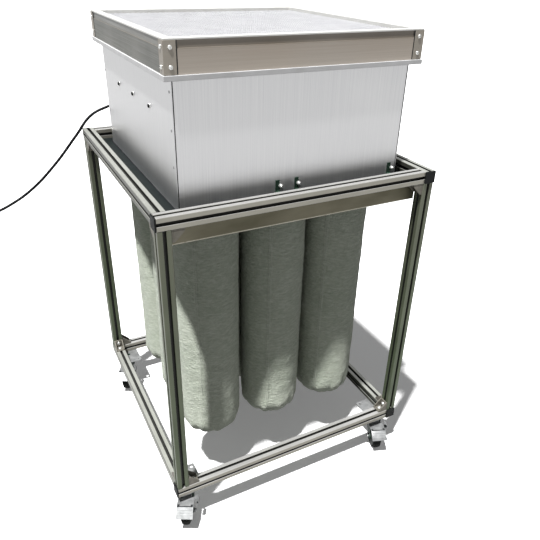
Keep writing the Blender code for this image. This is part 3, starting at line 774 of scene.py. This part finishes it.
def filter_fittings():
    """Corner brackets with their screws, and the bright rolled rim round the top."""
    low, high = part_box("filter_frame")
    half = high.x
    for sx in (-1, 1):
        for sy in (-1, 1):
            plate = Piece()
            screws = Piece()
            gap = Piece()
            label = f"{'front' if sy < 0 else 'back'}_{'left' if sx < 0 else 'right'}"
            reach, skin = 0.024, 0.0009
            bottom, top = low.z + 0.0006, high.z - 0.0030
            xs = sorted((sx * (half + skin), sx * (half - reach)))
            front = sorted((sy * half, sy * (half + skin)))
            plate.box((xs[0], front[0], bottom), (xs[1], front[1], top))
            ys = sorted((sy * half, sy * (half - reach)))
            flank = sorted((sx * half, sx * (half + skin)))
            plate.box((flank[0], ys[0], bottom), (flank[1], ys[1], top))
            plate.put(f"filter_bracket_{label}", "bracket", "filter", "filter_alloy", 0.0003)
            for share in (0.22, 0.80):
                z = bottom + (top - bottom) * share
                at = Vector((sx * (half - 0.0125), sy * (half + skin), z))
                button_head(screws, toward(at, (0, sy, 0)), 0.0043, 0.0028)
                at = Vector((sx * (half + skin), sy * (half - 0.0125), z))
                button_head(screws, toward(at, (sx, 0, 0)), 0.0043, 0.0028)
            screws.put(f"filter_screws_{label}", "bright", "filter", "zinc_plate")
            x = sx * (half - reach - 0.0012)
            front = sorted((sy * half, sy * (half + 0.0003)))
            gap.box((x - 0.0011, front[0], bottom), (x + 0.0011, front[1], top))
            y = sy * (half - reach - 0.0012)
            flank = sorted((sx * half, sx * (half + 0.0003)))
            gap.box((flank[0], y - 0.0011, bottom), (flank[1], y + 0.0011, top))
            gap.put(f"filter_joint_{label}", "seal", "filter", "filter_alloy", smooth=False)

    rim = Piece()
    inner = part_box("filter_pack")[1].x + 0.0003
    outer_lip = [(0.0004, -0.0026), (0.0004, 0.0002), (-0.0022, 0.0008)]
    outer_lip += [(-0.0050, 0.0002), (-0.0050, -0.0026)]
    square_loop(rim, [(half + out, high.z + up) for out, up in outer_lip])
    inner_lip = [(0.0050, 0.0), (0.0040, 0.0008), (0.0008, 0.0008)]
    inner_lip += [(-0.0006, -0.0002), (-0.0006, -0.0078), (0.0006, -0.0078)]
    square_loop(rim, [(inner + out, high.z + up) for out, up in inner_lip])
    rim.put("filter_rim", "filter_rim", "filter", "filter_alloy", 0.0003)


def square_loop(piece, section):
    """A square ring about Z with this (half side, height) section."""
    rings = []
    for sx, sy in ((-1, -1), (1, -1), (1, 1), (-1, 1)):
        rings.append([piece.mesh.verts.new((sx * half, sy * half, z)) for half, z in section])
    for first, second in zip(rings, [*rings[1:], rings[0]]):
        for i in range(len(section)):
            j = (i + 1) % len(section)
            piece.mesh.faces.new((first[i], second[i], second[j], first[j]))


def box_fittings():
    """Blind rivets and pan-head screws on the sides, and a bead of seal at the deck."""
    left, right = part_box("box_panel_left")[0].x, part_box("box_panel_right")[1].x
    for name, face, normal in (("left", left, (-1, 0, 0)), ("right", right, (1, 0, 0))):
        rivets, washers, screws = Piece(), Piece(), Piece()
        for y, heights in ((-0.268, (1.116, 1.042, 0.967)), (0.273, (1.070, 0.967, 0.895))):
            for z in heights:
                place = toward((face, y, z), normal)
                rivets.lathe([(0, 0.0011), (0.0011, 0.0012), (0.0022, 0.0009), (0.0031, 0)], 16, place)
        for y in (0.129, 0.004, -0.125):
            pan_head(washers, screws, toward((face, y, 1.060), normal), 0.0044, 0.0030)
        rivets.put(f"rivets_{name}", "zinc", "stand", "brushed_sheet")
        washers.put(f"screw_washers_{name}", "bright", "stand", "zinc_plate")
        screws.put(f"pan_screws_{name}", "plastic", "stand", "dark_painted_steel")

    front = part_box("box_panel_front")[0].y
    clips, heads = Piece(), Piece()
    for x, head_x in ((-0.049, -0.046), (0.0, 0.0), (0.260, 0.264)):
        clips.box((x - 0.005, front - 0.0016, 0.886), (x + 0.005, front, 0.911))
        clips.box((x - 0.005, front - 0.0090, 0.8745), (x + 0.005, front, 0.8860))
        place = toward((head_x + 0.004, front - 0.0016, 0.8975), (0, -1, 0))
        button_head(heads, place, 0.0048, 0.0080)
    clips.put("front_clips", "dark_steel", "stand", "dark_painted_steel", 0.0005)
    heads.put("front_clip_screws", "bright", "stand", "zinc_plate")

    bead = Piece()
    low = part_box("box_panel_front")[0].z
    half_x, half_y = right + 0.0001, -front + 0.0001
    for x0, y0, x1, y1 in (
        (-half_x, -half_y - 0.0022, half_x, -half_y), (-half_x, half_y, half_x, half_y + 0.0022),
        (-half_x - 0.0022, -half_y, -half_x, half_y), (half_x, -half_y, half_x + 0.0022, half_y),
    ):
        bead.box((x0, y0, low), (x1, y1, low + 0.0024))
    bead.put("deck_seal", "seal", "stand", "black_plastic", 0.0008)

    seams = Piece()
    panel_low, panel_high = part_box("box_panel_front")
    for sx in (-1, 1):
        for sy in (-1, 1):
            xs = sorted((sx * (panel_high.x - 0.0002), sx * (right - 0.0014)))
            ys = sorted((sy * (half_y - 0.0006), sy * (half_y - 0.0017)))
            seams.box((xs[0], ys[0], panel_low.z + 0.0005), (xs[1], ys[1], panel_high.z - 0.0005))
    seams.put("corner_seams", "seal", "stand", "black_plastic", smooth=False)

    low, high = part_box("tube_sheet")
    hem = Piece()
    edge = high.x
    fold = [(0.0001, 0.0001), (0.0002, 0.0022), (-0.0004, 0.0030), (-0.0016, 0.0026), (-0.0016, 0.0001)]
    square_loop(hem, [(edge + out, low.z + up) for out, up in fold])
    hem.put("deck_hem", "hem", "stand", "tube_sheet_steel")


# ---- frame fittings --------------------------------------------------------------------------


def gusset(body, screws, corner, along, up):
    """A die-cast corner bracket: two legs, two webs, and a screw down through each leg."""
    along, up = Vector(along), Vector(up)
    across = along.cross(up)
    place = Matrix((along, up, across)).transposed().to_4x4()
    place = Matrix.Translation(corner) @ place
    leg, thick, half = 0.0285, 0.0038, 0.0138
    body.box((0, 0, -half), (leg, thick, half), place)
    body.box((0, thick, -half), (thick, leg, half), place)
    web = [(thick, thick), (leg, thick), (leg, thick + 0.0020), (thick + 0.0020, leg), (thick, leg)]
    body.prism(web, -half, -half + 0.0034, place)
    body.prism(web, half - 0.0034, half, place)
    for turn in (toward((0.0160, thick, 0), (0, 1, 0), (0, 0, 1)), toward((thick, 0.0160, 0), (1, 0, 0))):
        button_head(screws, place @ turn, 0.0062, 0.0038)


def gussets():
    low_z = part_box("bottom_rail_front")[1].z
    high_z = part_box("top_rail_front")[0].z
    face = -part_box("post_front_left")[1].x
    line = face + 0.015
    for label in CORNERS:
        sx = -1 if label.endswith("left") else 1
        sy = -1 if label.startswith("front") else 1
        body, screws = Piece(), Piece()
        for z, up in ((low_z, 1), (high_z, -1)):
            gusset(body, screws, (sx * face, sy * line, z), (-sx, 0, 0), (0, 0, up))
            gusset(body, screws, (sx * line, sy * face, z), (0, -sy, 0), (0, 0, up))
        body.put(f"gussets_{label}", "cast", "stand", "anodised_profile", 0.0006)
        screws.put(f"gusset_screws_{label}", "bright", "stand", "zinc_plate")


WHEEL_RADIUS = 0.0375
CASTER_TRAIL = 0.045
PLATE_HOLE_X, PLATE_HOLE_Y = 0.023, 0.036
RACE_INNER, RACE_OUTER = 0.0130, 0.0245


def caster_details(label):
    """Bolts in the plate, the ring over the balls, the axle's cap nut, and the pedal's fold and tab; the ring
    and the fold are black as painted shade.
    """
    low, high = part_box(f"caster_plate_{label}")
    x, y = (low.x + high.x) / 2, (low.y + high.y) / 2
    axis = JOINTS[f"wheel_spin_{label}"]["axis"]
    heading = math.atan2(axis[1], axis[0])
    hub = Matrix.Translation((x, y, 0)) @ Matrix.Rotation(heading, 4, "Z")

    bolts = Piece()
    under = high.z - 0.003
    for dx in (-PLATE_HOLE_X, PLATE_HOLE_X):
        for dy in (-PLATE_HOLE_Y, PLATE_HOLE_Y):
            if max(abs(x + dx), abs(y + dy)) > 0.322:
                button_head(bolts, toward((x + dx, y + dy, under), (0, 0, -1), (0, 1, 0)), 0.0068, 0.0036)
    bolts.put(f"plate_bolts_{label}", "bright", "stand", "zinc_plate")
    # Painted shade: a thin black ring stands where the raceway's recess is shaded.
    race = Piece()
    proud, sunk = high.z + 0.00015, high.z - 0.0002
    band = [(RACE_OUTER, proud), (RACE_OUTER, sunk), (RACE_INNER, sunk), (RACE_INNER, proud)]
    race.lathe(band, 40, Matrix.Translation((x, y, 0)))
    race.put(f"race_ring_shade_{label}", "tread", "stand", "zinc_plate", smooth=False)

    nut = Piece()
    for side in (-1, 1):
        out = hub @ toward((side * 0.0208, -CASTER_TRAIL, WHEEL_RADIUS), (side, 0, 0))
        dome = [(0, 0.0062), (0.0026, 0.0056), (0.0044, 0.0036), (0.0050, 0.0010), (0.0050, -0.0004)]
        nut.lathe(dome, 18, out)
        nut.lathe([(0.0092, 0.0), (0.0092, -0.0010), (0.0050, -0.0010), (0.0050, 0.0)], 24,
                  hub @ toward((side * 0.0178, -CASTER_TRAIL, WHEEL_RADIUS), (side, 0, 0)))
    nut.lathe([(0, 0.0988), (0.0060, 0.0988), (0.0060, 0.0962), (0, 0.0962)], 6, hub)
    nut.put(f"axle_nuts_{label}", "zinc", f"fork_{label}", "zinc_plate", 0.0003)

    hubcap = Piece()
    for side in (-1, 1):
        out = hub @ toward((side * 0.0121, -CASTER_TRAIL, WHEEL_RADIUS), (side, 0, 0))
        disc = [(0.0115, 0.0016), (0.0240, 0.0010), (0.0270, 0.0016), (0.0285, 0.0012)]
        hubcap.lathe(disc + [(0.0288, -0.0010), (0.0115, -0.0010)], 40, out)
    hubcap.put(f"wheel_core_{label}", "hub_grey", f"wheel_{label}", "black_tread")

    # Painted shade: black strips across the pedal's fold and short ones beside it.
    fold = Piece()
    slope = Matrix.Rotation(math.atan2(0.0210, 0.0225), 4, "X")
    top = hub @ Matrix.Translation((0, -0.0700, 0.0820))
    fold.box((-0.0200, -0.0012, 0.0001), (0.0200, 0.0012, 0.0006), top)
    for side in (-1, 1):
        fold.box((side * 0.0175 - 0.0030, -0.0015, 0.0001), (side * 0.0175 + 0.0030, 0.0065, 0.0007), top)
    fold.put(f"pedal_fold_shade_{label}", "seal", f"pedal_{label}", "dark_painted_steel", smooth=False)
    ridge = Piece()
    for k in range(3):
        place = top @ slope @ Matrix.Translation((0, -0.0080 - 0.0065 * k, 0))
        ridge.box((-0.0190, -0.0012, -0.0002), (0.0190, 0.0012, 0.0008), place)
    ridge.put(f"pedal_ridges_{label}", "zinc", f"pedal_{label}", "zinc_plate", 0.0003)

    tab = Piece()
    sweep = [math.radians(-60 + 15 * i) for i in range(10)]
    outline = [(0.0150 * math.cos(a), 0.0150 * math.sin(a)) for a in sweep]
    outline += [(0.0132 * math.cos(a), 0.0132 * math.sin(a)) for a in reversed(sweep)]
    place = hub @ Matrix.Translation((0.0200, -0.0450, 0.0760)) @ Matrix.Rotation(math.pi / 2, 4, "X")
    tab.prism(outline, -0.0085, 0.0085, place)
    tab.put(f"release_tab_{label}", "zinc", f"pedal_{label}", "zinc_plate", 0.0003)


# ---- everything together ---------------------------------------------------------------------


def filter_face():
    """Warm satin alloy, bright at the rim, with a darker band above and darker left and right faces, both
    painted shade.
    """
    look = Look("filter_face", roughness=0.42, metallic=0.35)
    low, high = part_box("filter_frame")
    drawn = look.noise(1.0, 3.0, (5, 5, 800))
    height = look.remap(look.axis("Z"), low.z, high.z)
    rim = (0.965, (0.8, 0.8, 0.78))
    # Painted shade: the darker band from 0.74 to 0.955 of the frame's height.
    front = [(0.0, (0.44, 0.39, 0.335)), (0.70, (0.36, 0.31, 0.26)), (0.74, (0.155, 0.13, 0.10))]
    front = look.ramp(height, [*front, (0.90, (0.19, 0.165, 0.135)), (0.955, (0.24, 0.21, 0.18)), rim])
    side = [(0.0, (0.085, 0.088, 0.074)), (0.72, (0.105, 0.108, 0.095)), (0.74, (0.17, 0.17, 0.155))]
    side = look.ramp(height, [*side, (0.955, (0.26, 0.26, 0.25)), rim])
    # Painted shade: faces that look left or right take the darker side tones.
    geometry = look.add("ShaderNodeNewGeometry", {}).outputs["Normal"]
    side_shade_share = look.add("ShaderNodeSeparateXYZ", {"Vector": geometry}).outputs["X"]
    base = look.mix(look.sum(side_shade_share, 0.0, "ABSOLUTE"), front, side)
    cloudy = look.noise(6.0, 4.0)
    base = look.mix(look.remap(cloudy, 0.4, 0.7, 0.0, 0.22), base, (0.40, 0.38, 0.35))
    look.drive("Base Color", look.mix(look.remap(drawn, 0.35, 0.7, 0.0, 0.10), base, (0.12, 0.11, 0.10)))
    look.drive("Roughness", look.remap(drawn, 0.3, 0.7, 0.34, 0.5))
    look.bump(drawn, 0.00006)
    return look.done()


M["filter_face"] = filter_face()
M["bracket"] = filter_alloy("filter_bracket", (0.26, 0.235, 0.20), (0.34, 0.31, 0.265))
M["hem"] = plated("deck_hem", (0.30, 0.28, 0.22), (0.44, 0.42, 0.35), 0.3)
M["tie"] = coated("tie_fabric", (0.02, 0.02, 0.022), (0.05, 0.05, 0.055), 0.9, 900.0, 0.0004)
M["hub_grey"] = coated("wheel_core", (0.05, 0.055, 0.052), (0.10, 0.105, 0.10), 0.5, 300.0)

camera()
lights()
mains_lead()
for number, node in enumerate(BAG_NODES):
    felt_bag(number, node)
filter_guard()
filter_fittings()
box_fittings()
gussets()
for label in CORNERS:
    caster_details(label)
    finish_node(f"caster_plate_{label}", "zinc", 0.0004)
    finish_node(f"caster_fork_{label}", "dark_steel", 0.0004)
    finish_node(f"caster_wheel_{label}", "tread", smooth=True)
    finish_node(f"brake_pedal_{label}", "zinc", 0.0005)
    finish_node(f"post_{label}", "post", 0.0005)
for side, axis in (("front", "x"), ("right", "y"), ("back", "x"), ("left", "y")):
    for level in ("bottom", "top"):
        finish_node(f"{level}_rail_{side}", f"rail_{axis}", 0.0005)
        finish_node(f"end_cap_{level}_{side}", "plastic", 0.0003)
for side in ("front", "back", "left", "right"):
    finish_node(f"box_panel_{side}", "steel", 0.0003)
finish_node("tube_sheet", "deck", 0.0003)
finish_node("box_lip", "lip", 0.0006)
finish_node("filter_frame", "filter_face", 0.0003)
finish_node("filter_pack", "paper")
finish_node("filter_face_guard", "guard")
finish_node("fan_motor", "fan", 0.0008, smooth=True)
finish_node("fan_impeller", "fan", 0.0003, smooth=True)
finish_node("cord_gland", "plastic", smooth=True)
finish_node("power_plug", "plastic", 0.0006)
for name in ("power_cord", "cord_coil"):
    finish_node(name, "sheath")
for name in BAG_NODES:
    finish_node(name, "felt")

floor_mesh = bpy.data.meshes.new("floor")
floor_corners = [(x * FLOOR_REACH, y * FLOOR_REACH, 0) for x, y in ((-1, -1), (1, -1), (1, 1), (-1, 1))]
floor_mesh.from_pydata(floor_corners, [], [(0, 1, 2, 3)])
floor_mesh.materials.append(M["floor"])
floor = bpy.data.objects.new("floor", floor_mesh)
bpy.context.scene.collection.objects.link(floor)

bpy.context.view_layer.update()
